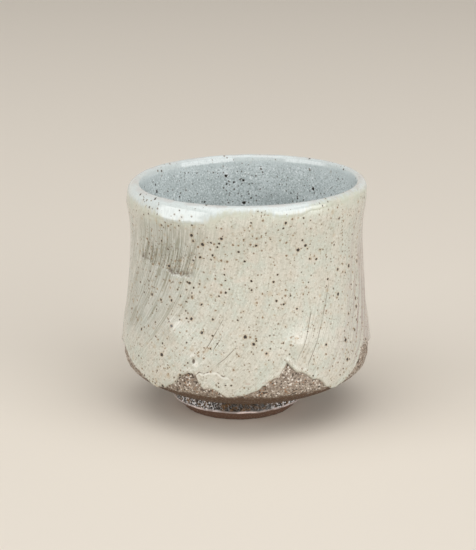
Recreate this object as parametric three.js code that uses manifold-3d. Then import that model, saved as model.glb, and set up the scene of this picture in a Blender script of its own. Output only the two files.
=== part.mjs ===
// Hand-thrown stoneware tea bowl: turned foot, brushed white slip outside, glaze inside and on the lip.
// Millimetres, +Z up. The origin lies on the table, on the axis of the wall, and the front faces -Y.
import * as THREE from "three";
import { mergeVertices } from "three/addons/utils/BufferGeometryUtils.js";
import Module from "manifold-3d";

const wasm = await Module();
wasm.setup();

// Clay wall, outside: diameters and the heights above the table where they are measured.
const HEIGHT = 82.7;
const HEEL_DIAMETER = 69;
const HEEL_HEIGHT = 11.1;
const KNUCKLE_DIAMETER = 86;
const KNUCKLE_HEIGHT = 17;
const BELLY_DIAMETER = 88.4;
const BELLY_HEIGHT = 27;
const FLANK_DIAMETER = 84.2;
const FLANK_HEIGHT = 44;
const WAIST_DIAMETER = 82.3;
const WAIST_HEIGHT = 61;
const LIP_DIAMETER = 83.1;

// Lip: how far below the top its outside starts to roll in, how far it rolls in, and how round it is inside.
const LIP_ROLL_HEIGHT = 5.5;
const LIP_ROLL_WIDTH = 1.8;
const LIP_INSIDE_ROUNDING = 0.7;

// Clay wall, inside: how thick the clay is at the waist, belly, corner and floor, and how far the inside of
// the belly lies above the outside's widest place and the inside corner above the floor.
const WAIST_WALL = 4;
const BELLY_WALL = 5;
const BELLY_INSIDE_RISE = 5;
const CORNER_WALL = 7;
const CORNER_RISE = 4;
const FLOOR_THICKNESS = 5.5;
const FLOOR_FLAT_DIAMETER = 46;

// Thrown by hand: how far the rim stands higher on the right than level, and how far right of the wall's axis
// the hollow lies, which leaves the lip thicker on the left.
const RIM_LEAN = 0.5;
const HOLLOW_SHIFT = 0.7;

// Foot, turned a little to the left of the wall's axis, with a broad bevel above the ring that it stands on.
const FOOT_HEIGHT = 10;
const FOOT_DIAMETER = 45.6;
const FOOT_FLARE = 0.4;
const FOOT_SHIFT = -2.8;
const BEVEL_HEIGHT = 3.4;
const BEVEL_WIDTH = 3.3;
const FOOT_RING_WIDTH = 4.6;
const RECESS_DEPTH = 6;
const RECESS_SLOPE = 1.5;
const SEAT_MARGIN = 3;

// Coats on the clay, and the bond line that keeps each one clear of what it covers.
const BOND_LINE = 0.2;
const COAT_GAP = 0.3;
const SLIP_THICKNESS = 0.6;
const RIM_GLAZE_THICKNESS = 0.5;
const INSIDE_GLAZE_THICKNESS = 0.5;
const FOOT_GLAZE_THICKNESS = 0.5;
const FOOT_BEAD = 0.25;
const FOOT_BEAD_HEIGHT = 1.6;
const RIM_GLAZE_DROP = 2.2;
const RIM_GLAZE_DEPTH = 3;

// Lower edge of the slip: how far out from the seat the brush lobes end, and the bare notches between them.
// Angles are in degrees from the front, positive to the right. A top is a height above the table.
const LOBE_END = 11;
const NOTCH_FLARE = 5;
const NOTCH_WIDTH = 20;
const NOTCH_TOP = 25;
const BARE_NOTCHES = [
  { at: -151, width: 1.5 * NOTCH_WIDTH, top: 1.04 * NOTCH_TOP },
  { at: -83, width: 1.8 * NOTCH_WIDTH, top: 1.12 * NOTCH_TOP },
  { at: -26, width: 1.1 * NOTCH_WIDTH, top: 0.96 * NOTCH_TOP },
  { at: 19, width: 1.3 * NOTCH_WIDTH, top: 1.14 * NOTCH_TOP },
  { at: 82, width: 1.9 * NOTCH_WIDTH, top: 1.18 * NOTCH_TOP },
  { at: 139, width: 1.4 * NOTCH_WIDTH, top: NOTCH_TOP },
];

// Lower edge of the lip's glaze: where it ran down further, over which half angle, and by how much.
const RUN_DROP = 2;
const GLAZE_RUNS = [
  { at: -112, reach: 24, drop: 1.25 * RUN_DROP },
  { at: -38, reach: 27, drop: 1.4 * RUN_DROP },
  { at: -16, reach: 7, drop: 1.75 * RUN_DROP },
  { at: 19, reach: 16, drop: 0.8 * RUN_DROP },
  { at: 96, reach: 26, drop: 1.3 * RUN_DROP },
  { at: 163, reach: 22, drop: 1.7 * RUN_DROP },
];

// Facets round the axis, and rows along each stretch of the clay's outline. A grading over 1 crowds the first
// rows of a stretch, and one under 1 the last.
const SEGMENTS = 48;
const OUTSIDE_ROWS = 18;
const OUTSIDE_GRADING = 1.3;
const ROLL_ROWS = 6;
const ROLL_GRADING = 0.7;
const CREST_ROWS = 3;
const INSIDE_ROWS = 16;
const NOTCH_STEPS = 6;

const crestRadius = LIP_DIAMETER / 2 - LIP_ROLL_WIDTH;
const rollHeight = HEIGHT - LIP_ROLL_HEIGHT;
const mouthHeight = HEIGHT - LIP_INSIDE_ROUNDING;
const floorHeight = FOOT_HEIGHT + FLOOR_THICKNESS;
const seatRadius = FOOT_DIAMETER / 2 + Math.abs(FOOT_SHIFT) + SEAT_MARGIN;

// Half outline of the clay, as (radius, height): out from the axis under the floor, up the outside, over the
// lip and in to the floor's middle.
const seat = new THREE.Vector2(seatRadius, FOOT_HEIGHT);
const under = new THREE.LineCurve(new THREE.Vector2(0, FOOT_HEIGHT), seat);
const outside = new THREE.SplineCurve([
  seat,
  new THREE.Vector2(HEEL_DIAMETER / 2, HEEL_HEIGHT),
  new THREE.Vector2(KNUCKLE_DIAMETER / 2, KNUCKLE_HEIGHT),
  new THREE.Vector2(BELLY_DIAMETER / 2, BELLY_HEIGHT),
  new THREE.Vector2(FLANK_DIAMETER / 2, FLANK_HEIGHT),
  new THREE.Vector2(WAIST_DIAMETER / 2, WAIST_HEIGHT),
  new THREE.Vector2(LIP_DIAMETER / 2, rollHeight),
]);
const roll = new THREE.EllipseCurve(crestRadius, rollHeight, LIP_ROLL_WIDTH, LIP_ROLL_HEIGHT, 0, Math.PI / 2);
const crest = new THREE.EllipseCurve(
  crestRadius,
  mouthHeight,
  LIP_INSIDE_ROUNDING,
  LIP_INSIDE_ROUNDING,
  Math.PI / 2,
  Math.PI,
);
const inside = new THREE.SplineCurve([
  new THREE.Vector2(crestRadius - LIP_INSIDE_ROUNDING, mouthHeight),
  new THREE.Vector2(WAIST_DIAMETER / 2 - WAIST_WALL, WAIST_HEIGHT),
  new THREE.Vector2(BELLY_DIAMETER / 2 - BELLY_WALL, BELLY_HEIGHT + BELLY_INSIDE_RISE),
  new THREE.Vector2(KNUCKLE_DIAMETER / 2 - CORNER_WALL, floorHeight + CORNER_RISE),
  new THREE.Vector2(FLOOR_FLAT_DIAMETER / 2, floorHeight),
  new THREE.Vector2(0, floorHeight),
]);
const outline = new THREE.CurvePath();
[under, outside, roll, crest, inside].forEach((curve) => outline.add(curve));
const [seatEnd, outsideEnd, rollEnd, crestEnd, outlineLength] = outline.getCurveLengths();

// A point at a distance along the clay's outline, raised off the clay by an offset.
function onClay(distance, offset) {
  const share = Math.min(distance / outlineLength, 1);
  const point = outline.getPoint(share);
  const tangent = outline.getTangent(share);
  return new THREE.Vector2(point.x + tangent.y * offset, point.y - tangent.x * offset);
}

// Tilts the wall above the belly, so that the rim stands higher on the right.
function leaned(geometry) {
  const place = geometry.getAttribute("position");
  for (let i = 0; i < place.count; i += 1) {
    const above = Math.max(0, place.getZ(i) - BELLY_HEIGHT) / (HEIGHT - BELLY_HEIGHT);
    const lift = (RIM_LEAN * above * above * place.getX(i)) / crestRadius;
    place.setZ(i, place.getZ(i) + lift);
  }
  return geometry;
}

// A solid of revolution about +Z, from its half section as (radius, height).
function turned(section) {
  return new THREE.LatheGeometry(section, SEGMENTS).rotateX(Math.PI / 2);
}

// How far to the right the clay lies at a distance along its outline: not at all outside, and fully inside.
function shiftAt(distance) {
  return HOLLOW_SHIFT * THREE.MathUtils.clamp((distance - outsideEnd) / (crestEnd - outsideEnd), 0, 1);
}

// The clay or a coat on it: a section of (distance along the outline, offset) for each angle round the axis.
function coated(sectionAt) {
  const rows = sectionAt(0).length;
  const blank = Array.from({ length: rows }, () => new THREE.Vector2());
  const geometry = new THREE.LatheGeometry(blank, SEGMENTS);
  const place = geometry.getAttribute("position");
  for (let column = 0; column <= SEGMENTS; column += 1) {
    const angle = ((column % SEGMENTS) / SEGMENTS) * 2 * Math.PI;
    sectionAt(angle).forEach(({ distance, offset }, row) => {
      const { x: radius, y: height } = onClay(distance, offset);
      const x = radius * Math.sin(angle) + shiftAt(distance);
      place.setXYZ(column * rows + row, x, -radius * Math.cos(angle), height);
    });
  }
  return leaned(geometry);
}

// Distances spread over one stretch of the outline, with both ends.
function spread(from, to, rows, grading = 1) {
  return Array.from({ length: rows + 1 }, (_, row) => from + (to - from) * (row / rows) ** grading);
}
const outsideRows = spread(seatEnd, outsideEnd, OUTSIDE_ROWS, OUTSIDE_GRADING);
const rollRows = spread(outsideEnd, rollEnd, ROLL_ROWS, ROLL_GRADING);
const crestRows = spread(rollEnd, crestEnd, CREST_ROWS);
const insideRows = spread(crestEnd, outlineLength, INSIDE_ROWS);

// The closed section of a band of coat: along its outer face and back along the bond line.
function band(distances, thickness) {
  const outer = distances.map((distance) => ({ distance, offset: BOND_LINE + thickness }));
  const inner = distances.map((distance) => ({ distance, offset: BOND_LINE })).reverse();
  return [...outer, ...inner, outer[0]];
}

// A smooth hump of height 1 about one angle, which falls to 0 at its reach. Both are in degrees.
function hump(angle, at, reach) {
  const off = angle - THREE.MathUtils.degToRad(at);
  const turn = Math.abs(Math.atan2(Math.sin(off), Math.cos(off)));
  const share = Math.min(turn / THREE.MathUtils.degToRad(reach), 1);
  return Math.cos((share * Math.PI) / 2) ** 2;
}

// How far along the outline the lip's glaze ends, at an angle round the axis.
function glazeEnd(angle) {
  const runs = GLAZE_RUNS.map(({ at, reach, drop }) => drop * hump(angle, at, reach));
  return runs.reduce((end, run) => end - run, rollEnd - RIM_GLAZE_DROP);
}

// A closed geometry as a solid that can be cut, and back.
function toSolid(geometry) {
  const bare = geometry.clone();
  bare.deleteAttribute("normal");
  bare.deleteAttribute("uv");
  const merged = mergeVertices(bare);
  const vertProperties = merged.getAttribute("position").array;
  return new wasm.Manifold(
    new wasm.Mesh({ numProp: 3, vertProperties, triVerts: new Uint32Array(merged.index.array) }),
  );
}
function toGeometry(solid) {
  const mesh = solid.getMesh();
  const geometry = new THREE.BufferGeometry();
  geometry.setAttribute("position", new THREE.BufferAttribute(mesh.vertProperties, 3));
  geometry.setIndex(new THREE.BufferAttribute(mesh.triVerts, 1));
  geometry.computeVertexNormals();
  return geometry;
}

function makeClayBody() {
  const stretches = [outsideRows, rollRows.slice(1), crestRows.slice(1), insideRows.slice(1)];
  const section = [0, ...stretches.flat()].map((distance) => ({ distance, offset: 0 }));
  return coated(() => section);
}

// The two ends of the foot's outer wall, as (radius, height): at the seat and at the top of the bevel.
const footTop = new THREE.Vector2(FOOT_DIAMETER / 2, FOOT_HEIGHT);
const footEdge = new THREE.Vector2(FOOT_DIAMETER / 2 + FOOT_FLARE, BEVEL_HEIGHT);

function makeFoot() {
  const base = footEdge.x - BEVEL_WIDTH;
  const recess = base - FOOT_RING_WIDTH;
  return turned([
    new THREE.Vector2(0, RECESS_DEPTH),
    new THREE.Vector2(recess - RECESS_SLOPE, RECESS_DEPTH),
    new THREE.Vector2(recess, 0),
    new THREE.Vector2(base, 0),
    footEdge,
    footTop,
    new THREE.Vector2(0, FOOT_HEIGHT),
  ]);
}

// Glaze on the foot's wall, which gathered in a bead along its lower edge.
function makeFootGlaze() {
  const outer = BOND_LINE + FOOT_GLAZE_THICKNESS;
  const top = new THREE.Vector2(footTop.x, FOOT_HEIGHT - BOND_LINE);
  const beadTop = footEdge.clone().lerp(footTop, FOOT_BEAD_HEIGHT / (FOOT_HEIGHT - BEVEL_HEIGHT));
  const beadMiddle = footEdge.clone().lerp(beadTop, 0.5);
  return turned([
    new THREE.Vector2(footEdge.x + BOND_LINE, footEdge.y),
    new THREE.Vector2(footEdge.x + outer, footEdge.y),
    new THREE.Vector2(beadMiddle.x + outer + FOOT_BEAD, beadMiddle.y),
    new THREE.Vector2(beadTop.x + outer, beadTop.y),
    new THREE.Vector2(top.x + outer, top.y),
    new THREE.Vector2(top.x + BOND_LINE, top.y),
    new THREE.Vector2(footEdge.x + BOND_LINE, footEdge.y),
  ]);
}

// The cutter of one bare notch: an arch seen from outside, which reaches out from the axis through the slip.
function makeNotch({ at, width, top }) {
  const half = width / 2;
  const arch = new THREE.Shape();
  arch.moveTo(-half - NOTCH_FLARE, FOOT_HEIGHT);
  arch.bezierCurveTo(-half, KNUCKLE_HEIGHT, -half / 2, top, 0, top);
  arch.bezierCurveTo(half / 2, top, half, KNUCKLE_HEIGHT, half + NOTCH_FLARE, FOOT_HEIGHT);
  const geometry = new THREE.ExtrudeGeometry(arch, {
    depth: BELLY_DIAMETER,
    bevelEnabled: false,
    curveSegments: NOTCH_STEPS,
  });
  const angle = THREE.MathUtils.degToRad(at);
  const along = new THREE.Vector3(Math.cos(angle), Math.sin(angle), 0);
  const out = new THREE.Vector3(Math.sin(angle), -Math.cos(angle), 0);
  return geometry.applyMatrix4(new THREE.Matrix4().makeBasis(along, new THREE.Vector3(0, 0, 1), out));
}

function makeSlipCoat() {
  const angles = Array.from({ length: SEGMENTS }, (_, column) => (column / SEGMENTS) * 2 * Math.PI);
  const start = seatEnd + LOBE_END;
  const lowestGlaze = Math.min(...angles.map(glazeEnd)) - COAT_GAP;
  const rows = outsideRows.filter((distance) => distance > start && distance < lowestGlaze);
  const coat = coated((angle) => {
    const upper = spread(rows.at(-1), glazeEnd(angle) - COAT_GAP, ROLL_ROWS);
    return band([start, ...rows, ...upper.slice(1)], SLIP_THICKNESS);
  });
  const notches = BARE_NOTCHES.map((notch) => toSolid(makeNotch(notch)));
  return toGeometry(notches.reduce((solid, notch) => solid.subtract(notch), toSolid(coat)));
}

function makeRimGlaze() {
  const inner = [...crestRows.slice(1), crestEnd + RIM_GLAZE_DEPTH];
  return coated((angle) => {
    const outer = spread(glazeEnd(angle), rollEnd, ROLL_ROWS, ROLL_GRADING);
    return band([...outer, ...inner], RIM_GLAZE_THICKNESS);
  });
}

// The lining ends on the axis, so its section opens there instead of closing on itself.
function makeInsideGlaze() {
  const start = crestEnd + RIM_GLAZE_DEPTH + COAT_GAP;
  const distances = [start, ...insideRows.slice(1)];
  const closed = band(distances, INSIDE_GLAZE_THICKNESS);
  const face = closed.slice(0, distances.length);
  const back = closed.slice(distances.length, -1);
  return coated(() => [...back, ...face]);
}

function makePiece(name, geometry, color, roughness) {
  const material = new THREE.MeshStandardMaterial({ color, roughness, metalness: 0 });
  const mesh = new THREE.Mesh(geometry, material);
  mesh.name = name;
  return mesh;
}

const bowl = new THREE.Group();
bowl.add(
  makePiece("clay_body", makeClayBody(), 0x8c7966, 0.9),
  makePiece("slip_coat", makeSlipCoat(), 0xd6cfbe, 0.3),
  makePiece("rim_glaze", makeRimGlaze(), 0xdde1dd, 0.12),
  makePiece("inside_glaze", makeInsideGlaze(), 0xa9aea6, 0.15),
);

const footGroup = new THREE.Group();
footGroup.position.x = FOOT_SHIFT;
footGroup.add(
  makePiece("foot", makeFoot(), 0x7d6653, 0.85),
  makePiece("foot_glaze", makeFootGlaze(), 0x3d2b22, 0.2),
);
bowl.add(footGroup);

export default bowl;
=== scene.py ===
"""Stoneware tea bowl: white slip brushed over bare clay, a glazed lip and lining, and a dark glazed foot."""
import itertools
import math

import bpy
import numpy as np
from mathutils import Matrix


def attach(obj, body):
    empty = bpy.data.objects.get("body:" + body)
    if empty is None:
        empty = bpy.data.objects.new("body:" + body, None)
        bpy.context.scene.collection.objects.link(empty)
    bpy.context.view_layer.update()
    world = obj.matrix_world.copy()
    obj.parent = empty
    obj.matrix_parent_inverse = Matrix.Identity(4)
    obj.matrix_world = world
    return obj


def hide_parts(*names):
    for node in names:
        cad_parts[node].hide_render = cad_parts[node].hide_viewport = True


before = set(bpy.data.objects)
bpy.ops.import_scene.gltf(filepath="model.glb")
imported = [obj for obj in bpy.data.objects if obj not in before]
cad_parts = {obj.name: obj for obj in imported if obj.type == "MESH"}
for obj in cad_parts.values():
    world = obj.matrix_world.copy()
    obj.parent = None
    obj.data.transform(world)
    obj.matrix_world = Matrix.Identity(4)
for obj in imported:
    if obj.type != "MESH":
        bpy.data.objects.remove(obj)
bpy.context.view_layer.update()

# Sizes are in millimetres, with heights from the table. Angles are in degrees from the front, -Y, to +X.
MM = 0.001
HEIGHT = 83.1
WAIST_HEIGHT = 61
BELLY_HEIGHT = 27
FLOOR_HEIGHT = 15.5
FOOT_HEIGHT = 10

# How far the rim rises above level at its right, and how far the hollow lies to the right.
RIM_LEAN = 0.5
HOLLOW_SHIFT = 0.7

# The lip rolls in over a quarter ellipse to its crest, and a smaller one leads on to the inside.
CREST_RADIUS = 39.75
ROLL_WIDTH = 1.8
ROLL_RISE = 5.9
CREST_WIDTH = 0.7
CREST_DROP = 2.4
CREST_END = 167
ROLL_HEIGHT = HEIGHT - ROLL_RISE
MOUTH_HEIGHT = HEIGHT - CREST_DROP

# The clay wall's outline as (radius, height): up the outside, and down the inside to the floor's middle.
SEAT_RADIUS = 28.6
WALL_OUTSIDE = [
    (SEAT_RADIUS, FOOT_HEIGHT), (34.5, 11.1), (43, 17), (44.2, BELLY_HEIGHT), (42.1, 44),
    (41.15, WAIST_HEIGHT), (CREST_RADIUS + ROLL_WIDTH, ROLL_HEIGHT),
]
WALL_INSIDE = [(37.15, WAIST_HEIGHT), (39.2, 32), (36, 19.5), (23, FLOOR_HEIGHT), (0, FLOOR_HEIGHT)]

# The foot's outline as (radius, height), from the middle of its recess to that of its top.
FOOT_SHIFT = -2.8
RECESS_HEIGHT = 6
FOOT_OUTLINE = [
    (0, RECESS_HEIGHT), (13.8, RECESS_HEIGHT), (15.3, 0), (19.9, 0), (23.2, 3.4), (22.8, FOOT_HEIGHT),
    (0, FOOT_HEIGHT),
]
FOOT_ROUNDING = 0.6

# How finely each mesh is woven: points round the axis, rows of its face, and rows of what is hidden.
SLIP_GRID = (600, 138, 10)
RIM_GRID = (480, 44, 14)
LINING_GRID = (420, 150)
LINING_BACK_STEP = 10
CLAY_GRID = (600, 84, 50, 12)
FOOT_GRID = (360, 120)
FOOT_GLAZE_GRID = (420, 34, 4)

# How near the axis the rows of the wall, of the foot and under the floor come.
WALL_AXIS_GAP = 0.4
FOOT_AXIS_GAP = 0.5
UNDER_AXIS_GAP = 2

# How far the faces of the coats stand off the clay, and how deep their backs are sunk in it.
SLIP_RISE = 0.8
GLAZE_RISE = 0.7
FOOT_GLAZE_RISE = 0.5
SUNK = 0.1

# Where a coat rounds off to the clay: rows at distances from its edge, or only where that ends.
SLIP_BRIM = [0, 0.05, 0.16, 0.34, 0.6, 0.95]
RIM_BRIM = [0, 0.08, 0.25, 0.5, 0.9, 1.4]
LINING_BRIM = [0, 0.15, 0.3, 0.45, 0.6, 0.8]
FOOT_BRIM = 0.8

# Noise on surfaces and edges, in layers of (height, size of its lumps, seed).
SLIP_WAVES = [(0.1, 13, 1), (0.06, 5, 2), (0.025, 2, 5)]
BRUSH_RIDGES = [(0.03, 1, 3), (0.05, 4, 4)]
WORN_RIDGES = [(0.02, 1, 3)]
SLIP_EDGE_ROUGH = [(0.55, 2.4, 31), (0.4, 0.9, 32)]
DRY_STROKES = [(0.8, 2.6, 11)]
DRY_EDGE = [(0.5, 5, 12)]
DRY_GRAIN = [(0.6, 1.1, 13)]
GLAZE_EDGE_ROUGH = [(0.35, 3, 21), (0.15, 1.2, 22)]
RIM_WAVES = [(0.05, 6, 41)]
LINING_WAVES = [(0.08, 9, 51), (0.04, 3, 52)]
CLAY_GRAIN = [(0.14, 1.1, 61), (0.1, 0.6, 62), (0.12, 5, 63)]
COMB_WAVER = [(2, 20, 64)]
TURNED_EDGE = [(0.6, 4, 65)]
FOOT_GRAIN = [(0.07, 1.2, 71), (0.05, 0.6, 72)]
FOOT_EDGE = [(0.18, 7, 81), (0.08, 2.5, 82)]
FOOT_LUMPS = [(0.16, 1.5, 83), (0.1, 0.8, 84), (0.1, 4, 85)]

# The slip's lower edge as (angle, height): brush lobes with bare clay between them.
SLIP_EDGE = [
    (-172, 15.5), (-161, 23.5), (-152, 27.5), (-144, 24.5), (-135, 15.5), (-118, 15), (-106, 17), (-95, 22),
    (-84, 24.8), (-74, 25.2), (-70, 23.6), (-65, 21.8), (-55, 18.8), (-46, 16), (-37.5, 17.7), (-30, 23),
    (-26.5, 24.3), (-22.8, 24), (-21, 21.2), (-18.5, 19.9), (-14.8, 19.8), (-8, 17), (-2.7, 17.2), (5.4, 20),
    (10.6, 23.2), (14.6, 24.7), (18.2, 28.8), (22, 26), (24.7, 25), (30.4, 22.4), (36, 20.5), (39, 18),
    (46, 16), (52.4, 17.9), (61, 22.5), (65, 25.5), (69, 28), (73, 27.2), (82, 25.5), (95, 22), (106, 17),
    (121, 15), (128, 19.5), (139, 27), (150, 18.5), (158, 15),
]

# Where the lip's glaze ends on the outside and where it turns white, as (angle, height).
GLAZE_EDGE = [
    (-178, 79.5), (-140, 80), (-112, 77.5), (-88, 79), (-70, 77.8), (-52, 77), (-40, 76.6), (-29, 77),
    (-20, 77.2), (-17.5, 75.6), (-15, 75.8), (-13, 78.5), (-10, 80.4), (0, 80.8), (8, 80.4), (15, 79.2),
    (25, 79.4), (32, 80.6), (60, 80.6), (78, 79.6), (96, 77.6), (115, 79.6), (140, 80), (163, 76.6),
]
WHITE_EDGE = [
    (-178, 81.4), (-140, 81.8), (-112, 79.2), (-88, 81), (-59, 80.4), (-47, 79.8), (-40, 77.8), (-29, 78),
    (-20, 78.4), (-15, 80.6), (-10.8, 82), (8, 82), (15, 80.6), (25, 80.8), (31, 82), (38, 82.9),
    (60, 82.9), (78, 82), (96, 79.2), (115, 81.2), (140, 81.6), (163, 78.4),
]

# How far the lip's glaze reaches inside, how far the slip reaches under it, and where the lining starts.
GLAZE_DEPTH = 3
GLAZE_LAP = 1
LINING_START = 0.6

# The glaze's edge starts sunk in the slip and rises out of it. Further up the slip's relief fades out, and
# the glaze's own waves fade out towards the inside.
LAP_SUNK = 0.12
LAP_RISE = 0.3
LAP_LEFT_FROM = 0.5
LAP_LEFT_OVER = 2.5
RIM_WAVES_FADE = 2

# Where the lip's glaze and the lining overlap, each thins out towards its end and is tucked in there.
THINNED = 0.012
TUCK_DEPTH = 0.1
TUCK_OVER = 0.6

# Slip and glaze thicken towards the lip, and the glaze thins out again from just before the crest.
LIP_START = 69
LIP_THICKENED = 0.55
LIP_THINNED_BEFORE = 1.3
LIP_THINNED_OVER = 2.2

# Where the lip's glaze hangs thicker, as (angle, reach, thickness). That fades out up to a top height, and
# towards the glaze's lower edge.
GLAZE_HUNG = [(-37, 26, 0.55), (24, 26, 0.55), (158, 26, 0.5)]
HUNG_TOP = 81.3
HUNG_HEIGHT = 3.5
HUNG_FADE = 1.8

# What stands out or is cut in, as bells of (rise, middle, width). The middle is a height for lip and neck,
# and otherwise a distance from a coat's edge or a mark. For the pinhole, 1 is its edge.
LIP_SECTION = [(0.4, 80.8, 2)]
NECK_SECTION = [(-0.35, 66, 8)]
SLIP_BEAD = [(0.25, 0.8, 1.2)]
FOOT_BEAD = [(0.55, 0.6, 1.3)]
GROOVE_SECTION = [(0.04, 0.9, 0.6), (-0.12, 0, 0.35)]
SEAM_SECTION = [(0.1, -0.7, 0.5), (-0.132, 0, 0.35)]
PINHOLE_SECTION = [(0.25, 1.8, 0.6), (-0.5, 0, 0.9)]

# Brush strokes lean to the left on their way down. They bend further with the square of the drop about the
# middle of the left side, and with its cube elsewhere.
STROKE_RADIUS = 43
STROKE_TOP = 75
STROKE_STRETCH = 0.06
STROKE_LEAN = 0.15
STROKE_BEND = 0.00008
LEFT_BEND = 0.00725
LEFT_MIDDLE = -60
LEFT_REACH = 75

# Single bristle marks in the slip, each as (angle, height) from its upper end.
GROOVES = [
    [(-10.5, 44.9), (-16.6, 36), (-20.2, 31.6)],
    [(-11, 38.6), (-14.9, 33.6)],
    [(-4.3, 35.5), (-9.2, 31.3), (-12.9, 28.9)],
    [(31.6, 46), (28.9, 38.4), (23.4, 30.4)],
    [(42.5, 54), (38.6, 44), (34.6, 36.3), (28.4, 27.6)],
    [(150, 62), (140, 46), (131, 36)],
    [(-150, 58), (-161, 41)],
    [(108, 66), (103, 50), (96, 38)],
]
GROOVE_FADE = 4
MARK_REACH = 3

# The crawled seam between two coats of slip above the front lobe, as (angle, height). It is cracked open up
# to an angle. Above its left end is a pinhole, with a painted highlight at its lower right.
SEAM = [
    (-22.4, 24.5), (-21.2, 25.7), (-19, 25.2), (-16.5, 26.2), (-13.2, 26.5), (-10.4, 24.9), (-7.8, 24.9),
    (-6.1, 22.9), (0, 22.4), (6, 22.6), (11, 23.2),
]
CRACK_END = -7
CRACK_FADE = 3
PINHOLE_ANGLE = -23.9
PINHOLE_HEIGHT = 29.2
PINHOLE_WIDE = 1.1
PINHOLE_TALL = 2
PAINTED_GLINT_TURN = 1.4
PAINTED_GLINT_DROP = 0.7

# Low swellings of the wall that catch the light, as (angle, height).
SWELLINGS = [(-35, 38.4), (25, 34.8), (118, 41), (-128, 38)]
SWELLING_RISE = 0.85
SWELLING_RADIUS = 3.4

# Where the brush ran dry: the first and last angle at the strokes' start, the lower edge's height at both,
# the top, and the angle from which crumbs of slip, with painted shade, lie along the lower edge. The top
# fades over a share of the patch's height.
DRY_PATCHES = [
    (-55, -19.5, 60, 57.6, 73.5, -35),
    (-58, -51, 60.4, 60.4, 67, -58),
    (146, 190, 44, 46, 64, 174),
]
DRY_DEPTH = 0.125
DRY_START_FADE = 3
DRY_END_FADE = 5
DRY_LOW_FADE = 0.8
DRY_TOP_SHARE = 0.7
LEDGE_HEIGHT = 2
LEDGE_FADE = 2

# Where the slip wore thin, and where a lilac reflection of the table is painted at the sides: middle and
# reach across the strokes, low and high end, strength.
WORN_ZONES = [(-42, 36, 34, 77, 1), (-72, 30, 28, 72, 0.6), (150, 45, 36, 70, 0.8), (-150, 30, 30, 66, 0.6)]
PAINTED_REFLECTION_ZONES = [(88, 36, 24, 76, 1), (-98, 20, 36, 76, 0.7)]
ZONE_LOW_FADE = 12
ZONE_HIGH_FADE = 8

# Throwing rings in the lining, and how far down they and its waves reach their full height.
RING_PITCH = 6.5
RING_RISE = 0.08
RING_FADE = 20
LINING_WAVES_FADE = 12

# The clay shows below a height. Its grain ends a little above that and, low down, at a combed, turned band.
BARE_TOP = 34
GRAIN_TOP = 36
GRAIN_FADE = 3
TURNED_TOP = 15.5
TURNED_FADE = 2
TURNED_DEPTH = 0.15
COMB_DEPTH = 0.05
COMB_PITCH = 1.3
FOOT_COMB_DEPTH = 0.06
FOOT_COMB_PITCH = 1.6

# The foot's glaze: the gap at its top, how far it runs below the widest place, over what its lumps set in,
# and where pale flecks are painted on as sparkling highlights, as (angle, reach).
FOOT_GLAZE_GAP = 0.4
FOOT_GLAZE_DROP = 0.5
FOOT_LUMPS_FADE = 1.5
PAINTED_SPARKLE_ZONES = [(-42, 42), (48, 32), (150, 60), (-130, 40)]


# Curves

def smooth(value):
    """0 below 0 and 1 above 1, with an even rise between."""
    share = np.clip(value, 0, 1)
    return share * share * (3 - 2 * share)


def turn_from(angle, middle):
    """Degrees from one angle to another, the short way round."""
    return (angle - middle + 180) % 360 - 180


def hump(angle, middle, reach):
    """1 at the middle, falling evenly to 0 at the reach."""
    share = np.minimum(np.abs(turn_from(angle, middle)) / reach, 1)
    return np.cos(share * math.pi / 2) ** 2


def bell(distance, width):
    """1 at no distance, falling off over a width."""
    return np.exp(-((distance / width) ** 2))


def section(distance, bells):
    """The sum of bells, each as (rise, middle, width)."""
    return sum(rise * bell(distance - middle, width) for rise, middle, width in bells)


def scattered(cell, seed):
    """A number from 0 to 1 for each grid cell, the same on every run."""
    x, y, z = np.moveaxis(cell, -1, 0)
    mixed = (x * 73856093) ^ (y * 19349663) ^ (z * 83492791) ^ (seed * 50331653)
    for factor in (0x45D9F3B, 0x119DE1F3):
        mixed = mixed & 0xFFFFFFFF
        mixed = ((mixed >> 16) ^ mixed) * factor
    return (mixed & 0xFFFF) / 0xFFFF


def lumps(place, size, seed):
    """Smooth noise from -1 to 1 over points, with lumps about one size across."""
    scaled = place / size
    cell = np.floor(scaled).astype(np.int64)
    share = smooth(scaled - cell)
    total = 0
    for corner in itertools.product((0, 1), repeat=3):
        weight = np.prod(np.where(corner, share, 1 - share), axis=-1)
        total = total + weight * scattered(cell + corner, seed)
    return 2 * total - 1


def rough(place, layers):
    """The sum of layers of noise over points, each as (height, size, seed)."""
    return sum(height * lumps(place, size, seed) for height, size, seed in layers)


def curve_through(points, steps=40):
    """An even curve through points, which starts and ends on them."""
    points = np.array([points[0], *points, points[-1]], float)
    share = np.linspace(0, 1, steps, endpoint=False)[:, None]
    stretches = []
    for before, start, end, after in zip(points, points[1:], points[2:], points[3:]):
        leave = (end - before) / 2
        arrive = (after - start) / 2
        bend = (3 * (end - start) - 2 * leave - arrive) * share**2
        twist = (2 * (start - end) + leave + arrive) * share**3
        stretches.append(start + leave * share + bend + twist)
    return np.vstack([*stretches, points[-1:]])


def arc_about(radius, height, wide, tall, start, end, steps=24):
    """Points on an ellipse about a place, from one angle to another."""
    turn = np.radians(np.linspace(start, end, steps))
    return np.column_stack([radius + wide * np.cos(turn), height + tall * np.sin(turn)])


def rounded(points, radius, steps=6):
    """A chain of straight lines with its inner corners rounded off."""
    points = np.array(points, float)
    share = np.linspace(0, 1, steps)[:, None]
    chain = [points[:1]]
    for before, corner, after in zip(points, points[1:], points[2:]):
        start = corner + (before - corner) / np.hypot(*(before - corner)) * radius
        end = corner + (after - corner) / np.hypot(*(after - corner)) * radius
        chain.append(start * (1 - share) ** 2 + 2 * corner * share * (1 - share) + end * share**2)
    return np.vstack([*chain, points[-1:]])


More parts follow.
